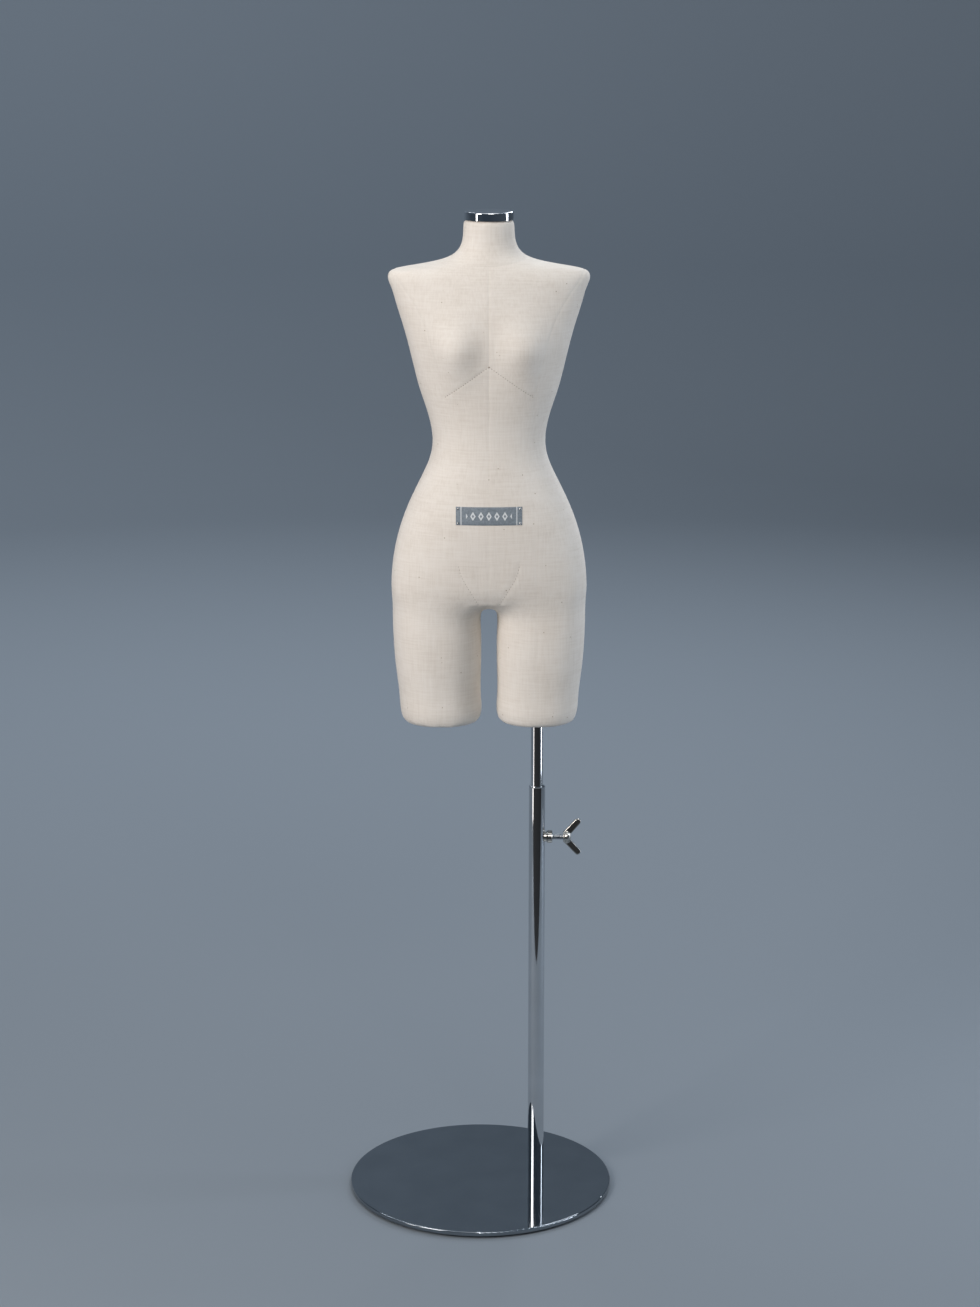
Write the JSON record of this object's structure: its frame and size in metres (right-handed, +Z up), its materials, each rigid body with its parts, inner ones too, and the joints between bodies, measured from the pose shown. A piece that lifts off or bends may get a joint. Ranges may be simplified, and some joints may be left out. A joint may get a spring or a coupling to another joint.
{
  "type": "dress form mannequin",
  "caption": "Half-scale cloth-covered female dress form with thigh stubs, on a telescopic chrome pole with a wing-screw clamp and a round mirror-steel base.",
  "frame": {"origin": "centre of the round base, on the floor", "axes": "+Z up, the torso faces -Y, the pole stands on the +X side of the centre"},
  "size_m": [0.26, 0.26, 0.9695],
  "materials": {
    "cover_cloth": "plain-woven undyed cotton-linen cloth, matt",
    "label_cloth": "woven damask label, grey",
    "padding_foam": "soft polyurethane foam",
    "glass_fibre": "moulded glass-fibre laminate, matt",
    "plywood": "birch plywood, raw",
    "turned_beech": "turned beech, raw",
    "polished_chrome": "mirror-polished chrome plate",
    "polished_base": "mirror-polished stainless steel",
    "plain_steel": "bright zinc-plated steel",
    "pin_steel": "nickel-plated pin",
    "nylon": "natural nylon",
    "black_plastic": "black polyethylene",
    "foot_rubber": "black EVA pad"
  },
  "bodies": {
    "stand": {"base_plate": "polished_base", "base_pads": "foot_rubber", "base_screw": "plain_steel", "lower_tube": "polished_chrome", "lower_tube_plug": "plain_steel", "clamp_boss": "polished_chrome"},
    "clamp_tip": {"clamp_tip": "nylon"},
    "wing_screw": {"clamp_screw": "polished_chrome", "wing_head": "polished_chrome"},
    "upper_pole": {"upper_tube": "polished_chrome", "upper_tube_end_plug": "black_plastic", "upper_tube_top_plug": "plain_steel"},
    "swivel_glide": {"swivel_glide": "nylon"},
    "torso": {"cover_neck": "cover_cloth", "cover_front_upper_left": "cover_cloth", "cover_front_upper_right": "cover_cloth", "cover_front_lower_left": "cover_cloth", "cover_front_lower_right": "cover_cloth", "cover_side_left": "cover_cloth", "cover_side_right": "cover_cloth", "cover_back_left": "cover_cloth", "cover_back_right": "cover_cloth", "cover_thigh_end_left": "cover_cloth", "cover_thigh_end_right": "cover_cloth", "label": "label_cloth", "label_pins": "pin_steel", "padding_front": "padding_foam", "padding_back": "padding_foam", "padding_thigh_left": "padding_foam", "padding_thigh_right": "padding_foam", "shell_front": "glass_fibre", "shell_back": "glass_fibre", "thigh_board_left": "plywood", "thigh_board_right": "plywood", "socket_bulkhead": "plywood", "socket_tube": "plain_steel", "socket_cap": "plain_steel", "socket_flange": "plain_steel", "flange_screws": "plain_steel", "neck_block": "turned_beech", "neck_cap": "polished_chrome", "neck_cap_stud": "plain_steel"}
  },
  "joints": [
    {"name": "pole_height", "type": "slide", "parent": "stand", "child": "upper_pole", "axis": [0, 0, 1], "range_m": [-0.065, 0.19]},
    {"name": "torso_swivel", "type": "hinge", "parent": "upper_pole", "child": "swivel_glide", "pos_m": [0.0551, 0.014, 0.64], "axis": [0, 0, 1], "continuous": true},
    {"name": "torso_lift", "type": "slide", "parent": "swivel_glide", "child": "torso", "axis": [0, 0, 1], "range_m": [0, 0.15]},
    {"name": "clamp_travel", "type": "slide", "parent": "stand", "child": "clamp_tip", "axis": [1, 0, 0], "range_m": [0, 0.002]},
    {"name": "wing_turn", "type": "hinge", "parent": "clamp_tip", "child": "wing_screw", "pos_m": [0.085, 0.014, 0.36], "axis": [-1, 0, 0], "range_deg": [0, 721]}
  ],
  "couplings": [
    {"joint": "wing_turn", "follows": "clamp_travel", "rad_per_m": 6283.2}
  ]
}
